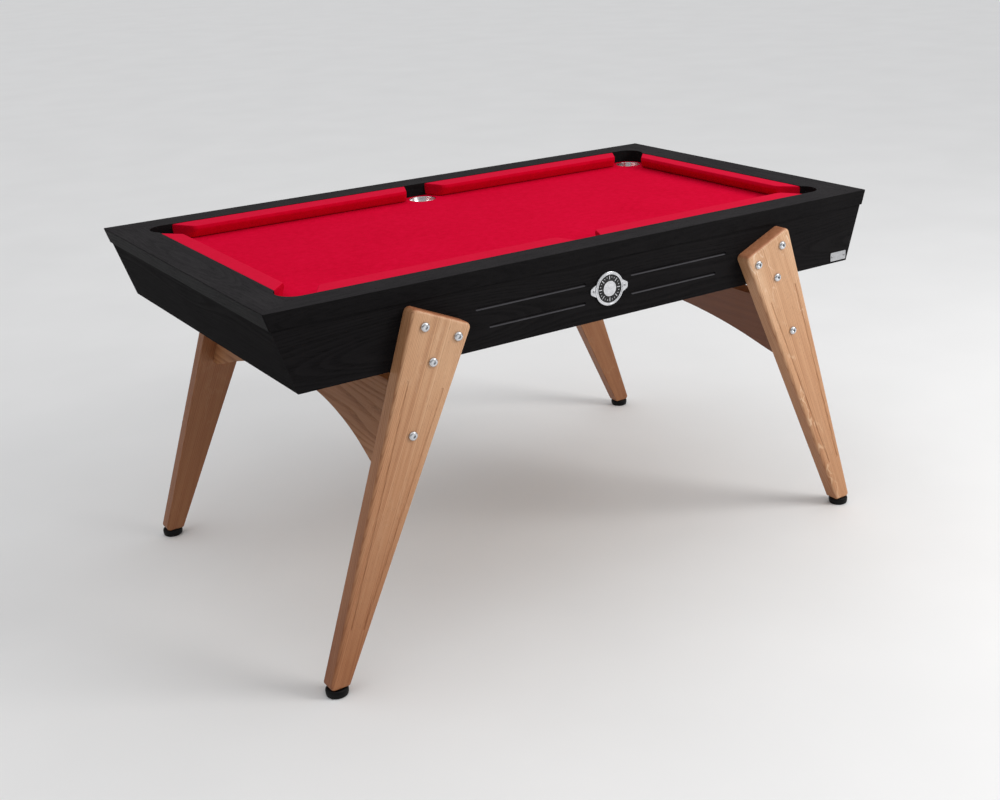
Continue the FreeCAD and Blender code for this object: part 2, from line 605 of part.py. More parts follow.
trim = []
for (x, z, top) in [(-LUG_X, BADGE[1], 2.6), (LUG_X, BADGE[1], 2.6)] + [(x, z, 1.2) for (x, z) in PLATE_SCREWS]:
    head = cyl(2.8, V(x, yf - top, z), V(x, yf - top - 1.5, z))
    head = head.makeFillet(1.1, [ed for ed in head.Edges if ed.BoundBox.YMax < yf - top - 1.4])
    s = head.fuse(cyl(1.5, V(x, yf - top - 0.5, z), V(x, yf + 8.0, z))).removeSplitter()
    s = s.cut(box(x - 2.0, x + 2.0, yf - top - 2.0, yf - top - 0.8, z - 0.35, z + 0.35))
    s = s.cut(box(x - 0.35, x + 0.35, yf - top - 2.0, yf - top - 0.8, z - 2.0, z + 2.0))
    trim.append(s.Solids[0])
save("trim_screws", Part.makeCompound(trim))
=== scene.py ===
import bpy
import bmesh
import math
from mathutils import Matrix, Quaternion, Vector


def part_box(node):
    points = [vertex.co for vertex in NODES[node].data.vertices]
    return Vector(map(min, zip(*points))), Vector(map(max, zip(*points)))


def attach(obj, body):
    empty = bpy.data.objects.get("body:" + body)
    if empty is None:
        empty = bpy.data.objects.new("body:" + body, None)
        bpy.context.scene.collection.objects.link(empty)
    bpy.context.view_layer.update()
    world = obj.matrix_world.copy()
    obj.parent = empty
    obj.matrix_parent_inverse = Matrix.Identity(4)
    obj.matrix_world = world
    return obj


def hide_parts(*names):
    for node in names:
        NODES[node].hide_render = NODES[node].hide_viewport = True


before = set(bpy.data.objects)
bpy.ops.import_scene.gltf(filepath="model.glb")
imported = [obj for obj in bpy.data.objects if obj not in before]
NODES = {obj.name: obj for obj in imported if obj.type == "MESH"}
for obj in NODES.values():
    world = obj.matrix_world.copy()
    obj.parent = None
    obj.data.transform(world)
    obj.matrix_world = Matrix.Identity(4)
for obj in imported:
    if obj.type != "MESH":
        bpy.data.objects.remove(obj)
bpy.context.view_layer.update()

scene = bpy.context.scene
scene.view_settings.view_transform = "Standard"


# --------------------------------------------------------------- node helpers
def lin(r, g, b):
    def f(c):
        c = c / 255.0
        return c / 12.92 if c <= 0.04045 else ((c + 0.055) / 1.055) ** 2.4
    return (f(r), f(g), f(b), 1.0)


class Mat:
    """A node material on one Principled shader, in the object's own metres."""

    def __init__(self, name, **sockets):
        self.m = bpy.data.materials.new(name)
        self.m.use_nodes = True
        self.t = self.m.node_tree
        self.t.nodes.clear()
        self.out = self.new("ShaderNodeOutputMaterial")
        self.bsdf = self.new("ShaderNodeBsdfPrincipled")
        self.t.links.new(self.bsdf.outputs[0], self.out.inputs["Surface"])
        self.co = self.new("ShaderNodeTexCoord").outputs["Object"]
        for k, v in sockets.items():
            self.set(k.replace("_", " "), v)

    def new(self, kind):
        return self.t.nodes.new(kind)

    def put(self, socket, v):
        if isinstance(v, bpy.types.NodeSocket):
            self.t.links.new(v, socket)
        else:
            socket.default_value = v

    def set(self, name, v):
        self.put(self.bsdf.inputs[name], v)

    def mapping(self, vec, loc=(0, 0, 0), rot=(0, 0, 0), scale=(1, 1, 1)):
        n = self.new("ShaderNodeMapping")
        self.put(n.inputs["Vector"], vec)
        n.inputs["Location"].default_value = loc
        n.inputs["Rotation"].default_value = rot
        n.inputs["Scale"].default_value = scale
        return n.outputs[0]

    def vmath(self, op, a, b=None):
        n = self.new("ShaderNodeVectorMath")
        n.operation = op
        self.put(n.inputs[0], a)
        if b is not None:
            self.put(n.inputs[1], b)
        return n.outputs["Value"] if op in ("LENGTH", "DOT_PRODUCT", "DISTANCE") else n.outputs["Vector"]

    def math(self, op, a, b=None, c=None, clamp=False):
        n = self.new("ShaderNodeMath")
        n.operation = op
        n.use_clamp = clamp
        self.put(n.inputs[0], a)
        if b is not None:
            self.put(n.inputs[1], b)
        if c is not None:
            self.put(n.inputs[2], c)
        return n.outputs[0]

    def split(self, vec):
        n = self.new("ShaderNodeSeparateXYZ")
        self.put(n.inputs[0], vec)
        return n.outputs[0], n.outputs[1], n.outputs[2]

    def join(self, x, y, z):
        n = self.new("ShaderNodeCombineXYZ")
        self.put(n.inputs[0], x)
        self.put(n.inputs[1], y)
        self.put(n.inputs[2], z)
        return n.outputs[0]

    def noise(self, vec, scale=1.0, detail=2.0, rough=0.5, dist=0.0):
        n = self.new("ShaderNodeTexNoise")
        self.put(n.inputs["Vector"], vec)
        n.inputs["Scale"].default_value = scale
        n.inputs["Detail"].default_value = detail
        n.inputs["Roughness"].default_value = rough
        n.inputs["Distortion"].default_value = dist
        return n.outputs[0]

    def voronoi(self, vec, scale=1.0, feature="F1", rand=1.0):
        n = self.new("ShaderNodeTexVoronoi")
        n.feature = feature
        self.put(n.inputs["Vector"], vec)
        n.inputs["Scale"].default_value = scale
        n.inputs["Randomness"].default_value = rand
        return n.outputs["Distance"]

    def curve(self, v, *stops):
        """Piecewise value through (position, value) stops, from 0 to 1."""
        n = self.new("ShaderNodeValToRGB")
        r = n.color_ramp
        r.elements[0].position, r.elements[1].position = stops[0][0], stops[-1][0]
        for p, _ in stops[1:-1]:
            r.elements.new(p)
        for e, (p, val) in zip(sorted(r.elements, key=lambda e: e.position), stops):
            e.position = p
            e.color = val if hasattr(val, "__len__") else (val, val, val, 1.0)
        self.put(n.inputs[0], v)
        return n.outputs[0]

    def span(self, v, a, b, c=0.0, d=1.0):
        n = self.new("ShaderNodeMapRange")
        n.clamp = True
        self.put(n.inputs["Value"], v)
        n.inputs["From Min"].default_value = a
        n.inputs["From Max"].default_value = b
        n.inputs["To Min"].default_value = c
        n.inputs["To Max"].default_value = d
        return n.outputs[0]

    def mix(self, fac, a, b, blend="MIX"):
        n = self.new("ShaderNodeMix")
        n.data_type = "RGBA"
        n.blend_type = blend
        self.put(n.inputs[0], fac)
        self.put(n.inputs[6], a)
        self.put(n.inputs[7], b)
        return n.outputs[2]

    def normal(self):
        return self.new("ShaderNodeNewGeometry").outputs["Normal"]

    def tint(self, mask, col, f):
        """Multiply the colour by f where the mask is on."""
        return self.mix(mask, col, self.mix(1.0, col, (f[0], f[1], f[2], 1.0), "MULTIPLY"))

    def bump(self, height, distance, strength=1.0, normal=None):
        n = self.new("ShaderNodeBump")
        n.inputs["Strength"].default_value = strength
        n.inputs["Distance"].default_value = distance
        self.put(n.inputs["Height"], height)
        if normal is not None:
            self.put(n.inputs["Normal"], normal)
        return n.outputs[0]


def grain(m, centre, turn):
    """Coordinates about a board's middle, turned so that its grain runs along
    the third axis."""
    return m.mapping(m.vmath("SUBTRACT", m.co, centre), rot=turn)


def fract(m, v):
    return m.math("FRACT", v)


# ------------------------------------------------------------------ materials
def oak(name, centre, turn, pith, tone=1.0, fleck=0.0, seed=0.0, height_shade=1.0, side=None, shade_facing=None, shade=(1, 1, 1)):
    """Oiled oak: growth rings about a far pith, open pores in the early wood,
    fine fibres, slow streaks along the grain and pale ray flecks."""
    m = Mat(name, Specular_IOR_Level=0.42)
    q0 = grain(m, centre, turn)
    z0 = m.split(q0)[2]
    q = m.vmath("ADD", q0, (seed, seed * 0.7, seed * 1.3))
    wob = m.math("SUBTRACT", m.noise(m.mapping(q, scale=(7, 7, 1.3)), detail=1.5), 0.5)
    warp = m.math("SUBTRACT", m.noise(m.mapping(q, scale=(60, 60, 7)), detail=2), 0.5)
    x, y, z = m.split(q)
    xx = m.math("ADD", m.math("ADD", x, m.math("MULTIPLY", wob, 0.034)), m.math("MULTIPLY", warp, 0.0022))
    r = m.vmath("LENGTH", m.join(m.math("ADD", xx, pith[0]), m.math("ADD", y, pith[1]), 0.0))
    uneven = m.noise(m.join(r, 0.0, 0.0), scale=38, detail=2)
    ring = fract(m, m.math("ADD", m.math("MULTIPLY", r, 330.0), m.math("MULTIPLY", uneven, 6.0)))
    late = m.curve(ring, (0.0, 0.0), (0.22, 0.25), (0.5, 0.85), (0.9, 1.0), (1.0, 0.0))
    streak = m.noise(m.mapping(q, scale=(95, 95, 1.7)), detail=4, rough=0.62)
    broad = m.noise(m.mapping(q, scale=(17, 17, 1.1)), detail=2)
    fibre = m.noise(m.mapping(q, scale=(1500, 1500, 16)), detail=2, rough=0.6)
    pores = m.noise(m.mapping(q, scale=(2100, 2100, 60)), detail=1)
    pore = m.math("MULTIPLY", m.span(pores, 0.60, 0.68), m.span(late, 0.75, 0.2))
    f = m.math("ADD", m.math("MULTIPLY", late, 0.30), m.math("MULTIPLY", streak, 1.1))
    f = m.math("ADD", f, m.math("MULTIPLY", m.math("SUBTRACT", broad, 0.5), 0.5))
    light, mid, dark = lin(229, 187, 149), lin(209, 158, 117), lin(171, 117, 79)

    def t(c):
        return (c[0] * tone, c[1] * tone ** 1.45, c[2] * tone ** 1.9, 1.0)
    col = m.curve(m.span(f, 0.28, 1.25), (0.0, t(dark)), (0.45, t(mid)), (1.0, t(light)))
    col = m.mix(m.math("MULTIPLY", pore, 0.62), col, t(lin(122, 76, 48)))
    col = m.mix(m.span(fibre, 0.35, 0.7, 0.0, 0.16), col, t(lin(150, 99, 64)))
    fl = m.noise(m.mapping(q, scale=(30, 30, 22)), detail=2, dist=0.6)
    cell = m.voronoi(m.vmath("ADD", m.mapping(q, scale=(24, 24, 9)), m.join(m.math("MULTIPLY", fl, 1.2), 0.0, m.math("MULTIPLY", warp, 1.2))),
                     feature="DISTANCE_TO_EDGE")
    where = m.span(m.noise(m.mapping(q, scale=(16, 16, 7)), detail=1), 0.46, 0.57)
    ray = m.math("MULTIPLY", m.math("MULTIPLY", m.span(cell, 0.045, 0.014), where), fleck)
    nrm = m.normal()
    if side:
        edge = m.span(m.math("ABSOLUTE", m.split(nrm)[1]), 0.30, 0.85, 1.0, 0.0)
        ray = m.math("MULTIPLY", ray, m.math("SUBTRACT", 1.0, edge))
    col = m.mix(ray, col, t(lin(240, 210, 178)))
    if side:
        # painted shade: the side faces are tinted a deeper, redder brown than the face, for the shade they stand in;
        # end grain is redder still
        col = m.tint(edge, col, side)
        across = m.math("ABSOLUTE", m.split(m.mapping(nrm, rot=turn))[2])
        col = m.tint(m.span(across, 0.55, 0.85), col, (0.92, 0.72, 0.68))
    if shade_facing:
        # painted shade: faces turned towards the middle of the table, into the shade under it, are darkened by the
        # shade factor
        col = m.tint(m.span(m.vmath("DOT_PRODUCT", nrm, shade_facing), 0.3, 0.8), col, shade)
    if height_shade < 1.0:
        # painted shade: the board is made darker and redder towards its lower end, where less light reaches it
        col = m.tint(m.span(z0, 0.26, -0.36), col, (height_shade, height_shade ** 1.6, height_shade ** 2.2))
        # painted light: towards its upper end the board is made paler and less saturated
        col = m.tint(m.span(z0, 0.05, 0.38), col, (1.04, 1.13, 1.22))
    m.set("Base Color", col)
    rough = m.math("ADD", m.span(late, 0.0, 1.0, 0.52, 0.40), m.span(fibre, 0.3, 0.7, -0.03, 0.06))
    m.set("Roughness", rough)
    h = m.math("SUBTRACT", m.math("MULTIPLY", fibre, 0.25), pore)
    h = m.math("ADD", h, m.math("MULTIPLY", late, 0.12))
    m.set("Normal", m.bump(h, 0.00022, 0.7))
    return m.m


def black_wood(name, centre, turn, depth, seed=0.0, spec=0.045, dull=0.0, relief=1.0, top=1.0, groove_highlight=False):
    """Black stained open-pore wood. The rings are cut flat, so they run in
    long pointed arches, felt more as relief than as colour."""
    m = Mat(name, Specular_IOR_Level=spec)
    q = m.vmath("ADD", grain(m, centre, turn), (0.0, 0.0, seed))
    x, y, z = m.split(q)
    sway = m.noise(m.join(0.0, seed, z), scale=1.6, detail=1)
    wob = m.math("SUBTRACT", m.noise(m.mapping(q, scale=(9, 9, 1.6)), detail=2), 0.5)
    a = m.math("ADD", x, m.math("MULTIPLY", wob, 0.030))
    b = m.math("ADD", y, m.math("ADD", depth, m.math("MULTIPLY", sway, 0.085)))
    r = m.vmath("LENGTH", m.join(a, b, 0.0))
    uneven = m.noise(m.join(r, 0.0, 0.0), scale=60, detail=2)
    ring = fract(m, m.math("ADD", m.math("MULTIPLY", r, 210.0), m.math("MULTIPLY", uneven, 4.0)))
    late = m.curve(ring, (0.0, 0.0), (0.3, 0.15), (0.55, 0.8), (0.88, 1.0), (1.0, 0.0))
    fibre = m.noise(m.mapping(q, scale=(1100, 1100, 15)), detail=2, rough=0.6)
    pores = m.noise(m.mapping(q, scale=(1500, 1500, 42)), detail=1)
    pore = m.math("MULTIPLY", m.span(pores, 0.55, 0.66), m.span(late, 0.9, 0.15, 1.0 - relief, 1.0))
    streak = m.noise(m.mapping(q, scale=(70, 70, 1.5)), detail=3, rough=0.6)
    f = m.math("ADD", m.math("MULTIPLY", late, 0.45 * relief), m.math("MULTIPLY", streak, 0.7))
    col = m.curve(m.span(f, 0.2, 1.0), (0.0, (0.0052, 0.0047, 0.0052, 1)), (1.0, (0.0100, 0.0090, 0.0096, 1)))
    col = m.mix(pore, col, (0.0022, 0.0020, 0.0022, 1))
    dust = m.span(m.noise(m.co, scale=5.0, detail=5, rough=0.65), 0.45, 0.85, 0.0, 0.05)
    col = m.mix(dust, col, (0.06, 0.056, 0.055, 1))
    if top > 1.0:
        # painted light: faces turned upwards are made paler than the sides, as the light from above falls on them
        col = m.tint(m.span(m.split(m.normal())[2], 0.5, 0.9), col, (top, top, top))
    if groove_highlight:
        # painted highlight: the upward-facing lower lip of each routed groove is coloured pale grey, for the light it
        # catches from above
        nz = m.split(m.normal())[2]
        deep = m.math("ABSOLUTE", m.split(m.co)[1])
        lip_highlight = m.math("MULTIPLY", m.span(nz, 0.25, 0.6), m.span(deep, 0.4508, 0.4504))
        col = m.mix(lip_highlight, col, (0.075, 0.073, 0.080, 1))
    m.set("Base Color", col)
    m.set("Roughness", m.math("ADD", m.span(late, 0.0, 1.0, 0.58 + dull, 0.58 + dull - 0.11 * relief), m.span(fibre, 0.3, 0.7, -0.04, 0.08)))
    h = m.math("SUBTRACT", m.math("MULTIPLY", fibre, 0.18), m.math("MULTIPLY", pore, 0.9))
    h = m.math("ADD", h, m.math("MULTIPLY", late, 0.34 * relief))
    m.set("Normal", m.bump(h, 0.00026, 0.8))
    return m.m


def playing_cloth(name, tone=1.0, rot=(0, 0, 0), brushed=False):
    """Napped woollen cloth: a felted twill under a short brushed nap."""
    m = Mat(name, Specular_IOR_Level=0.015)
    m.set("Sheen Weight", 0.07)
    m.set("Sheen Roughness", 0.45)
    m.set("Sheen Tint", (1.0, 0.05, 0.12, 1.0))
    q = m.mapping(m.co, rot=rot)
    cloud = m.noise(q, scale=7.0, detail=3, rough=0.55)
    mott = m.noise(q, scale=62.0, detail=4, rough=0.65)
    nap = m.noise(m.mapping(q, scale=(520, 900, 900)), detail=3, rough=0.7)
    fuzz = m.noise(q, scale=2600.0, detail=2, rough=0.7)
    x, y, z = m.split(q)
    twill = m.math("SINE", m.math("MULTIPLY", m.math("ADD", m.math("ADD", x, y), z), 5200.0))
    base, low, high = lin(213, 4, 48), lin(203, 1, 42), lin(221, 8, 55)

    def t(c):
        return (c[0] * tone, c[1] * tone, c[2] * tone, 1.0)
    f = m.math("ADD", m.math("MULTIPLY", mott, 0.72), m.math("MULTIPLY", cloud, 0.28))
    col = m.curve(m.span(f, 0.32, 0.68), (0.0, t(low)), (0.5, t(base)), (1.0, t(high)))
    col = m.mix(m.span(nap, 0.42, 0.72, 0.0, 0.26), col, t(lin(232, 20, 68)))
    col = m.mix(m.span(fuzz, 0.30, 0.62, 0.22, 0.0), col, t(lin(150, 0, 24)))
    if brushed:
        # painted light and shade: on a cushion the flat top is made paler and pinker and the face darker and deeper
        # red, for how the light falls on them
        lit_top = m.span(m.split(m.normal())[2], 0.55, 0.92)
        col = m.mix(lit_top, m.mix(1.0, col, (0.86, 0.55, 0.62, 1.0), "MULTIPLY"), m.mix(0.45, col, lin(216, 34, 64)))
    m.set("Base Color", col)
    m.set("Roughness", m.span(nap, 0.3, 0.7, 0.96, 0.84))
    h = m.math("ADD", m.math("MULTIPLY", nap, 0.6), m.math("MULTIPLY", fuzz, 0.35))
    h = m.math("ADD", h, m.math("MULTIPLY", twill, 0.06))
    h = m.math("ADD", h, m.math("MULTIPLY", mott, 0.7))
    m.set("Normal", m.bump(h, 0.00030, 0.55))
    return m.m


def polished_steel(name, base=(0.86, 0.86, 0.87, 1), low=0.06, high=0.20, turned=True):
    """Bright metal with fine turning lines and faint handling marks."""
    m = Mat(name, Metallic=1.0, Base_Color=base)
    lines = m.noise(m.mapping(m.co, scale=(60, 60, 5200) if turned else (900, 900, 900)), detail=2, rough=0.7)
    haze = m.noise(m.co, scale=90, detail=4, rough=0.7)
    spots = m.span(m.voronoi(m.co, scale=420), 0.05, 0.16, 0.10, 0.0)
    m.set("Roughness", m.math("ADD", m.span(haze, 0.3, 0.75, low, high), spots))
    m.set("Base Color", m.mix(m.span(haze, 0.4, 0.8, 0.0, 0.35), base, (base[0] * 0.72, base[1] * 0.73, base[2] * 0.76, 1)))
    m.set("Normal", m.bump(lines, 0.00002, 0.35))
    return m.m


def plated_steel(name):
    """Zinc plating: soft spangle, slightly blue, dull in patches."""
    m = Mat(name, Metallic=1.0)
    cell = m.noise(m.co, scale=260, detail=3, rough=0.6)
    col = m.curve(m.span(cell, 0.3, 0.7), (0.0, lin(168, 171, 176)), (0.6, lin(196, 199, 203)), (1.0, lin(214, 214, 212)))
    m.set("Base Color", col)
    m.set("Roughness", m.span(cell, 0.3, 0.7, 0.26, 0.42))
    m.set("Normal", m.bump(m.noise(m.co, scale=1400, detail=2), 0.00002, 0.5))
    return m.m


def cast_metal(name, centre, brushed=False, tone=0.86):
    """Satin cast alloy; the middle of the badge is spun, so its fine lines
    run round its centre."""
    m = Mat(name, Metallic=1.0)
    v = m.vmath("SUBTRACT", m.co, centre)
    x, y, z = m.split(v)
    r = m.vmath("LENGTH", m.join(x, 0.0, z))
    spun = m.noise(m.join(r, 0.0, 0.0), scale=2600, detail=3, rough=0.7)
    cast = m.noise(m.co, scale=1600, detail=3, rough=0.65)
    wear = m.noise(m.co, scale=140, detail=4, rough=0.7)
    inner = m.span(r, 0.0168, 0.0172, 1.0, 0.0) if brushed else 0.0
    tex = m.mix(inner, cast, spun) if brushed else cast

    def t(c):
        return (c[0] * tone, c[1] * tone, c[2] * tone, 1.0)
    col = m.mix(m.span(wear, 0.35, 0.8, 0.0, 0.6), t(lin(226, 227, 230)), t(lin(186, 188, 193)))
    col = m.mix(m.span(tex, 0.3, 0.7, 0.0, 0.18), col, t(lin(150, 152, 158)))
    m.set("Base Color", col)
    m.set("Roughness", m.math("ADD", m.span(wear, 0.3, 0.8, 0.20, 0.34), m.span(tex, 0.3, 0.7, -0.03, 0.05)))
    m.set("Normal", m.bump(tex, 0.00005, 0.6))
    return m.m


def enamel(name):
    m = Mat(name, Specular_IOR_Level=0.22)
    peel = m.noise(m.co, scale=420, detail=2)
    dust = m.span(m.noise(m.co, scale=2300, detail=3, rough=0.7), 0.58, 0.72, 0.0, 0.25)
    m.set("Base Color", m.mix(dust, (0.012, 0.012, 0.013, 1), (0.06, 0.06, 0.062, 1)))
    m.set("Roughness", m.span(peel, 0.3, 0.7, 0.16, 0.30))
    m.set("Normal", m.bump(peel, 0.00004, 0.4))
    return m.m


def moulded_black(name, tone=1.0, wear=0.3):
    """Moulded black plastic with a fine spark-eroded texture and scuffs."""
    m = Mat(name, Specular_IOR_Level=0.14)
    cell = m.voronoi(m.co, scale=2300)
    scuff = m.noise(m.mapping(m.co, scale=(260, 260, 60)), detail=4, rough=0.7)
    soft = m.noise(m.co, scale=48, detail=3)
    col = m.mix(m.span(soft, 0.3, 0.7), (0.0075 * tone, 0.0075 * tone, 0.0080 * tone, 1), (0.016 * tone, 0.016 * tone, 0.0165 * tone, 1))
    col = m.mix(m.span(scuff, 0.60, 0.76, 0.0, wear), col, (0.075, 0.074, 0.072, 1))
    m.set("Base Color", col)
    m.set("Roughness", m.math("ADD", m.span(soft, 0.3, 0.7, 0.42, 0.58), m.span(scuff, 0.6, 0.76, 0.0, 0.15)))
    m.set("Normal", m.bump(cell, 0.00006, 0.5))
    return m.m


def raw_pine(name, turn, seed=0.0):
    """Sawn softwood for the parts under the bed."""
    m = Mat(name, Specular_IOR_Level=0.25)
    q = m.vmath("ADD", m.mapping(m.co, rot=turn), (seed, 0.0, seed))
    x, y, z = m.split(q)
    wob = m.math("SUBTRACT", m.noise(m.mapping(q, scale=(8, 8, 1.5)), detail=2), 0.5)
    r = m.vmath("LENGTH", m.join(m.math("ADD", x, m.math("MULTIPLY", wob, 0.03)), m.math("ADD", y, 0.16), 0.0))
    ring = fract(m, m.math("MULTIPLY", r, 240.0))
    late = m.curve(ring, (0.0, 0.0), (0.55, 0.15), (0.85, 1.0), (1.0, 0.0))
    saw = m.noise(m.mapping(q, scale=(30, 30, 700)), detail=2, rough=0.6)
    fibre = m.noise(m.mapping(q, scale=(900, 900, 14)), detail=3, rough=0.6)
    col = m.mix(late, lin(226, 192, 142), lin(186, 132, 82))
    col = m.mix(m.span(fibre, 0.35, 0.7, 0.0, 0.35), col, lin(168, 126, 84))
    m.set("Base Color", col)
    m.set("Roughness", m.span(fibre, 0.3, 0.7, 0.62, 0.82))
    m.set("Normal", m.bump(m.math("ADD", saw, m.math("MULTIPLY", fibre, 0.5)), 0.00025, 0.6))
    return m.m


def fibreboard(name):
    m = Mat(name, Specular_IOR_Level=0.2)
    chips = m.noise(m.mapping(m.co, scale=(420, 260, 900)), detail=4, rough=0.75)
    cloud = m.noise(m.co, scale=14, detail=3)
    col = m.curve(m.span(chips, 0.3, 0.7), (0.0, lin(138, 104, 70)), (0.5, lin(170, 132, 92)), (1.0, lin(196, 162, 120)))
    col = m.mix(m.span(cloud, 0.3, 0.7, 0.0, 0.22), col, lin(128, 96, 66))
    m.set("Base Color", col)
    m.set("Roughness", m.span(chips, 0.3, 0.7, 0.74, 0.9))
    m.set("Normal", m.bump(chips, 0.00018, 0.5))
    return m.m


def paint(names, material):
    for n in ([names] if isinstance(names, str) else names):
        o = NODES[n]
        if not o.material_slots:
            o.data.materials.append(material)
        for s in o.material_slots:
            s.material = material


UP = math.pi / 2
TILT = math.radians(21.8)
ALONG_X = (0.0, -UP, 0.0)      # turns +X onto the grain axis
ALONG_Y = (UP, 0.0, 0.0)       # turns +Y onto the grain axis


def middle(node):
    lo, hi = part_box(node)
    return (lo + hi) / 2


for i, n in enumerate(("rail_front", "rail_back")):
    c = middle(n)
    paint(n, black_wood("wood_" + n, (c.x, c.y, 0.795), ALONG_X, 0.02, seed=0.4 + i * 2.3, relief=0.35, top=3.1))
for i, n in enumerate(("rail_left", "rail_right")):
    c = middle(n)
    paint(n, black_wood("wood_" + n, (c.x, c.y, 0.795), ALONG_Y, 0.02, seed=5.1 + i * 1.9, relief=0.35, top=3.1))
for i, n in enumerate(("apron_front", "apron_back")):
    c = middle(n)
    paint(n, black_wood("wood_" + n, (0.0, c.y, 0.700), ALONG_X, 0.03, seed=9.7 + i * 3.1, spec=0.05, dull=0.08, relief=0.7, groove_highlight=True))
for i, n in enumerate(("apron_left", "apron_right")):
    c = middle(n)
    paint(n, black_wood("wood_" + n, (c.x, 0.0, 0.705), ALONG_Y, 0.03, seed=14.2 + i * 2.7, spec=0.02, dull=0.16, relief=0.55))

# painted shade: the tones follow the light each leg gets; the back legs get the lowest, a darker and redder brown, for
# the shade under the table
LEGS = (("leg_front_left", -1, -1, 0.94, 0.08, 0.0, 0.60), ("leg_front_right", 1, -1, 1.0, 0.6, 3.3, 0.82),
        ("leg_back_left", -1, 1, 0.62, 0.15, 6.1, 0.9), ("leg_back_right", 1, 1, 0.68, 0.2, 8.4, 0.92))
for n, sx, sy, tone, fleck, seed, height_shade in LEGS:
    c = middle(n)
    paint(n, oak("oak_" + n, (c.x, c.y, c.z), (0.0, sx * TILT, 0.0), (0.42, 0.20), tone, fleck, seed, height_shade,
                 side=(0.76, 0.66, 0.58), shade_facing=(0.0, -sy, 0.0), shade=(0.80, 0.74, 0.68)))
# painted shade: the braces get low tones, the right one lowest, for the shade under the table, and their inner faces
# are darkened further
for n, sx, tone, seed in (("brace_left", -1, 0.64, 11.0), ("brace_right", 1, 0.48, 13.7)):
    c = middle(n)
    paint(n, oak("oak_" + n, (c.x, 0.0, 0.53), ALONG_Y, (0.16, 0.11), tone, 0.1, seed, shade_facing=(-sx, 0.0, 0.0), shade=(0.52, 0.38, 0.28)))

paint(["bed_beam_left", "bed_beam_right", "end_cleat_left", "end_cleat_right", "cushion_strip_left", "cushion_strip_right"],
      raw_pine("pine_across", ALONG_Y, 0.4))
paint(["leg_blocks", "cushion_strips_front", "cushion_strips_back"], raw_pine("pine_along", ALONG_X, 1.3))
paint("corner_blocks", raw_pine("pine_upright", (0.0, 0.0, 0.0), 2.2))
paint("bed_board", fibreboard("bed_fibreboard"))
paint("pocket_rings", polished_steel("liner_polish", (0.96, 0.96, 0.97, 1), 0.20, 0.34))
paint("leg_bolts", polished_steel("bolt_polish", (0.60, 0.61, 0.63, 1), 0.20, 0.36, turned=False))
paint("trim_screws", polished_steel("trim_polish", (0.42, 0.42, 0.43, 1), 0.20, 0.34, turned=False))
plating = plated_steel("zinc_plating")
paint(["rail_screws", "barrel_nuts", "leg_inserts", "foot_sleeves"], plating)
paint([n for n in NODES if n.startswith("foot_stud")], plating)
paint([n for n in NODES if n.startswith("foot_pad")], moulded_black("foot_moulding", 0.35, 0.06))
paint([n for n in NODES if n.startswith("pocket_cup")], moulded_black("cup_moulding", 1.0, 0.30))
badge_mid = middle("badge_inlay")
paint("badge_body", cast_metal("badge_cast", tuple(badge_mid), brushed=True))
paint("badge_ticks", cast_metal("tick_cast", tuple(badge_mid)))
paint("badge_inlay", enamel("badge_enamel"))
paint("nameplate", cast_metal("plate_satin", tuple(middle("nameplate")), tone=0.62))


# ------------------------------------------------------------------- bed cloth
def add_object(name, mesh, material):
    o = bpy.data.objects.new(name, mesh)
    scene.collection.objects.link(o)
    mesh.materials.clear()
    mesh.materials.append(material)
    return o


lo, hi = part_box("bed_cloth")
POCKETS = []
for n in ("front_left", "front_middle", "front_right", "back_left", "back_middle", "back_right"):
    c = middle("pocket_cup_" + n)
    POCKETS.append((c.x, c.y))
HOLE = 0.0347


def bed_sheet():
    """The bed cloth, one millimetre thick, with its pocket holes turned down
    over the edge of the board."""
    curve = bpy.data.curves.new("bed_outline", "CURVE")
    curve.dimensions = "2D"
    curve.fill_mode = "BOTH"
    r = 0.006
    pts = []
    for cx, cy, a0 in ((hi.x - r, hi.y - r, 0), (lo.x + r, hi.y - r, 90), (lo.x + r, lo.y + r, 180), (hi.x - r, lo.y + r, 270)):
        for k in range(7):
            a = math.radians(a0 + 15 * k)
            pts.append((cx + r * math.cos(a), cy + r * math.sin(a)))
    loops = [pts]
    for (px, py) in POCKETS:
        loops.append([(px + HOLE * math.cos(-2 * math.pi * k / 96), py + HOLE * math.sin(-2 * math.pi * k / 96)) for k in range(96)])
    for loop in loops:
        s = curve.splines.new("POLY")
        s.points.add(len(loop) - 1)
        for p, (x, y) in zip(s.points, loop):
            p.co = (x, y, 0.0, 1.0)
        s.use_cyclic_u = True
    half = (hi.z - lo.z) / 2
    curve.extrude = half
    tmp = bpy.data.objects.new("bed_outline", curve)
    scene.collection.objects.link(tmp)
    tmp.location = (0, 0, lo.z + half)
    bpy.context.view_layer.update()
    mesh = bpy.data.meshes.new_from_object(tmp)
    mesh.transform(tmp.matrix_world)
    bpy.data.objects.remove(tmp)
    bm = bmesh.new()
    bm.from_mesh(mesh)
    bmesh.ops.remove_doubles(bm, verts=bm.verts, dist=1e-5)
    rim = [e for e in bm.edges if all(v.co.z > hi.z - 1e-5 for v in e.verts)
           and any(abs(math.hypot(e.verts[0].co.x - px, e.verts[0].co.y - py) - HOLE) < 1e-4
                   and abs(math.hypot(e.verts[1].co.x - px, e.verts[1].co.y - py) - HOLE) < 1e-4 for px, py in POCKETS)
           and len(e.link_faces) == 2 and abs(e.link_faces[0].normal.z - e.link_faces[1].normal.z) > 0.5]
    bmesh.ops.bevel(bm, geom=rim, offset=0.0007, segments=3, affect="EDGES", profile=0.5)
    bmesh.ops.recalc_face_normals(bm, faces=bm.faces)
    bm.to_mesh(mesh)
    bm.free()
    return mesh


cloth_mat = playing_cloth("bed_cloth_wool", 1.0)
bed = add_object("bed_cloth_sheet", bed_sheet(), cloth_mat)
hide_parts("bed_cloth")
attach(bed, "table")


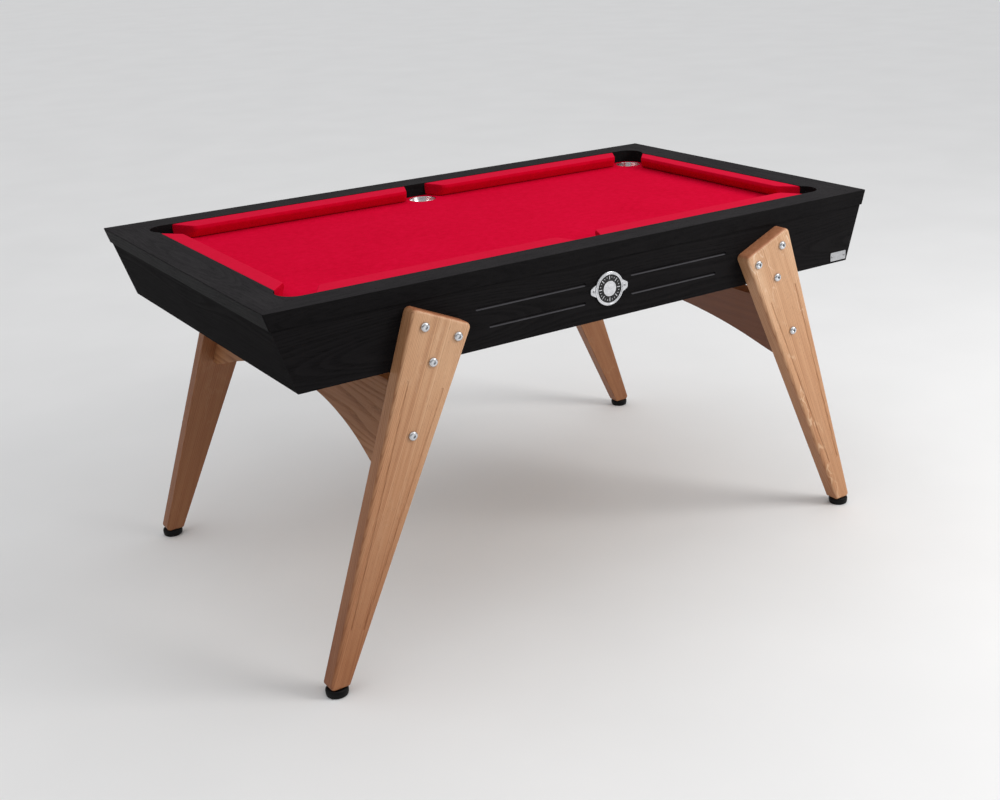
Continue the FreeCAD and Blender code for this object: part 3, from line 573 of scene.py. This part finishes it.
# -------------------------------------------------------------------- cushions
def cushion(name, node, t0b, t0n, t1n, t1b, width, rc, place, seed):
    """A rubber cushion under tightly drawn cloth. t runs along the rail, u
    from the rail towards the bed. Each level is one loop from the rail round
    the nose and back to the rail; levels rise from the bed to the nose and
    then close in over the top, which is crowned and tucked down at the rail."""
    lo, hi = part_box(node)
    z0, z1 = lo.z + 0.00008, hi.z
    levels = []
    for dn, dj, h in ((20.0, 4.2, 0.0), (18.2, 3.8, 0.5), (15.8, 3.1, 1.2), (13.8, 2.3, 2.0), (12.4, 1.6, 3.0), (11.1, 1.1, 4.6),
                      (9.2, 0.8, 7.4), (7.2, 0.6, 10.6), (5.1, 0.4, 13.8), (3.1, 0.25, 16.9), (1.5, 0.15, 19.6), (0.45, 0.05, 21.6), (0.0, 0.0, 23.0),
                      (0.35, 0.05, 24.6), (1.2, 0.15, 26.6), (2.3, 0.35, 28.6), (3.1, 0.7, 29.8), (4.1, 1.3, 30.5), (5.4, 2.1, 30.85)):
        puff = math.sin(math.pi * min(1.0, h / 23.0)) * 0.0004
        levels.append((max(0.0, dn / 1000 - puff), dj / 1000, z0 + h / 1000))
    edge, edge_j, edge_z = levels[-1]
    d, step = edge, 0.0016
    while d + step < width - 0.0012:
        d += step
        step = min(step * 1.25, 0.005)
        levels.append((d, edge_j + (d - edge), None))
    gj = [0.0, .010, .022, .038, .060, .09, .135, .20, .28, .38, .5, .62, .74, .87, 1.0]
    nn = max(24, int((t1n - t0n) / 0.006))
    na = 10
    bm = bmesh.new()
    rings = []
    for li, (dn, dj, z) in enumerate(levels):
        w = width - dn

        def jaw(tb, tn, sgn):
            # the jaw line, moved in by dj
            v = Vector((tn - tb, width))
            v.normalize()
            n = Vector((v.y, -v.x)) * sgn
            return Vector((tb, 0.0)) + n * dj, v
        pa, va = jaw(t0b, t0n, 1.0)
        pb, vb = jaw(t1b, t1n, -1.0)
        pa = pa - va * (pa.y / va.y)
        pb = pb - vb * (pb.y / vb.y)
        ca = pa + va * (w / va.y)
        cb = pb + vb * (w / vb.y)
        rr = min(max(rc - dj, 0.0030), w * 0.75)
        loop = []

        def corner(c, v, s):
            # fillet between the jaw line and the nose line
            e = Vector((s, 0.0))
            half = math.acos(max(-1, min(1, (-v).dot(e)))) / 2
            tl = rr / math.tan(half)
            centre = c + ((-v) + e).normalized() * (rr / math.sin(half))
            return c - v * tl, centre, c + e * tl
        a0, ac, a1 = corner(ca, va, 1.0)
        b0, bc, b1 = corner(cb, vb, -1.0)
        loop += [("ja", pa + (a0 - pa) * g) for g in gj]
        s0, s1 = a0 - ac, a1 - ac
        ang = s0.angle_signed(s1) if s0.length > 0 else 0.0

        def turned(v, a):
            return Vector((v.x * math.cos(a) + v.y * math.sin(a), -v.x * math.sin(a) + v.y * math.cos(a)))
        loop += [("ca", ac + turned(s0, ang * k / na)) for k in range(1, na)]
        loop += [("no", a1 + (b1 - a1) * (k / nn)) for k in range(nn + 1)]
        s0, s1 = b1 - bc, b0 - bc
        ang = s0.angle_signed(s1)
        loop += [("cb", bc + turned(s0, ang * k / na)) for k in range(1, na)]
        loop += [("jb", b0 + (pb - b0) * (1 - g)) for g in reversed(gj)]
        ring = []
        for k, (tag, p) in enumerate(loop):
            t, u = p
            if z is None:
                # the top rises very slightly from the edge to the rail
                zz = edge_z + (z1 - 0.0002 - edge_z) * math.sin(math.pi / 2 * min(1.0, (dn - edge) / (width - edge)))
            else:
                zz = z
            top = 1.0 if z is None else max(0.0, min(1.0, (z - (z1 - 0.006)) / 0.006))
            # cloth tucked down beside the wooden rail
            if u < 0.0022:
                zz -= 0.0007 * (1 - max(u, 0.0) / 0.0022) ** 2 * top
            # small gathers where the cloth is pulled round the jaws
            if tag in ("ca", "cb", "ja", "jb") and 5 <= li < 13:
                low = 1.0 - (z - z0) / 0.0230
                arc = t * 240.0 + u * 310.0 + seed
                amp = 0.00028 * low * low + 0.00006
                out = Vector((t - (ac.x if tag in ("ca", "ja") else bc.x), u - min(ac.y, w)))
                if out.length > 1e-6 and u > 0.004:
                    out.normalize()
                    t += out.x * amp * math.sin(arc)
                    u += out.y * amp * math.sin(arc)
            if tag == "no":
                u += 0.00010 * math.sin(t * 23.0 + seed) + 0.00006 * math.sin(t * 71.0 + seed * 2)
            ring.append(bm.verts.new(place(t, u, zz)))
        rings.append(ring)
    n = len(rings[0])
    for a, b in zip(rings, rings[1:]):
        for k in range(n - 1):
            f = bm.faces.new((a[k], a[k + 1], b[k + 1], b[k]))
            f.smooth = True
    bm.faces.new(rings[0])
    bm.faces.new(list(reversed(rings[-1])))
    back = [r[0] for r in rings] + [r[-1] for r in reversed(rings)]
    bm.faces.new(back)
    bmesh.ops.recalc_face_normals(bm, faces=bm.faces)
    for e in bm.edges:
        if any(not f.smooth for f in e.link_faces):
            e.smooth = False
    mesh = bpy.data.meshes.new(name)
    bm.to_mesh(mesh)
    bm.free()
    return mesh


# brushed=True paints light on the cushion tops and shade on their faces
cush_mat = {"x": playing_cloth("cushion_wool_long", 1.02, brushed=True), "y": playing_cloth("cushion_wool_end", 1.02, brushed=True, rot=(0, 0, UP))}
for side, sy in (("front", -1), ("back", 1)):
    for end, sx in (("left", -1), ("right", 1)):
        node = f"cushion_{side}_{end}"
        lo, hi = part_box(node)
        y_back = max(abs(lo.y), abs(hi.y))
        y_nose = min(abs(lo.y), abs(hi.y))
        mesh = cushion(node + "_cloth", node, 0.030, 0.055, 0.620, 0.655, y_back - y_nose, 0.018,
                       lambda t, u, z, sx=sx, sy=sy, yb=y_back: (sx * t, sy * (yb - u), z), 1.7 * sx + 3.1 * sy)
        o = add_object(node + "_cloth", mesh, cush_mat["x"])
        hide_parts(node)
        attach(o, "table")
for end, sx in (("left", -1), ("right", 1)):
    node = "cushion_" + end
    lo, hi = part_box(node)
    x_back = max(abs(lo.x), abs(hi.x))
    x_nose = min(abs(lo.x), abs(hi.x))
    mesh = cushion(node + "_cloth", node, -0.315, -0.268, 0.268, 0.315, x_back - x_nose, 0.012,
                   lambda t, u, z, sx=sx, xb=x_back: (sx * (xb - u), t, z), 2.3 * sx)
    o = add_object(node + "_cloth", mesh, cush_mat["y"])
    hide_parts(node)
    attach(o, "table")


# ---------------------------------------------------------- stage, light, camera
def plane(name, half, z, material):
    bm = bmesh.new()
    bmesh.ops.create_grid(bm, x_segments=24, y_segments=24, size=half)
    for v in bm.verts:
        v.co.z = z
    mesh = bpy.data.meshes.new(name)
    bm.to_mesh(mesh)
    bm.free()
    return add_object(name, mesh, material)


DOME_LOW, DOME_HIGH = 0.24, 1.02
fm = Mat("studio_floor", Specular_IOR_Level=0.15)
fn = fm.noise(fm.co, scale=2.2, detail=3)
fm.set("Base Color", fm.mix(fm.span(fn, 0.3, 0.7), (0.835, 0.835, 0.835, 1), (0.86, 0.86, 0.86, 1)))
fm.set("Roughness", fm.span(fn, 0.3, 0.7, 0.82, 0.9))
floor = plane("studio_floor", 30.0, 0.0, fm.m)

# a soft dome, bright overhead and dim near the horizon
world = bpy.data.worlds.new("studio")
scene.world = world
world.use_nodes = True
wt = world.node_tree
bg = wt.nodes["Background"]
where = wt.nodes.new("ShaderNodeTexCoord")
axes = wt.nodes.new("ShaderNodeSeparateXYZ")
rise = wt.nodes.new("ShaderNodeMapRange")
rise.interpolation_type = "SMOOTHSTEP"
rise.inputs["From Min"].default_value = 0.30
rise.inputs["From Max"].default_value = 0.80
rise.inputs["To Min"].default_value = DOME_LOW
rise.inputs["To Max"].default_value = DOME_HIGH
wt.links.new(where.outputs["Generated"], axes.inputs[0])
wt.links.new(axes.outputs[2], rise.inputs["Value"])
wt.links.new(rise.outputs[0], bg.inputs[1])
bg.inputs[0].default_value = (0.985, 0.99, 1.0, 1.0)


def softbox(name, where, at, size, power, colour=(1, 1, 1)):
    l = bpy.data.lights.new(name, "AREA")
    l.shape = "RECTANGLE"
    l.size, l.size_y = size
    l.energy = power
    l.color = colour
    o = bpy.data.objects.new(name, l)
    scene.collection.objects.link(o)
    o.location = where
    o.rotation_mode = "QUATERNION"
    o.rotation_quaternion = (Vector(at) - Vector(where)).to_track_quat("-Z", "Y")
    return o


softbox("key_right", (2.5, -3.1, 2.7), (0.3, -0.2, 0.5), (1.8, 1.8), 92.0, (1.0, 0.985, 0.965))

cam_data = bpy.data.cameras.new("camera")
cam = bpy.data.objects.new("camera", cam_data)
scene.collection.objects.link(cam)
scene.camera = cam
cam_data.sensor_width = 36.0
cam_data.lens = 48.1244
cam_data.shift_x = -0.06583
cam_data.shift_y = -0.01633
cam_data.clip_start, cam_data.clip_end = 0.05, 200.0
cam.rotation_mode = "QUATERNION"
cam.location = (-1.68504, -2.67840, 1.52209)
cam.rotation_quaternion = Quaternion((0.7776672, 0.5488823, -0.1642776, -0.2587948))

bpy.context.view_layer.update()
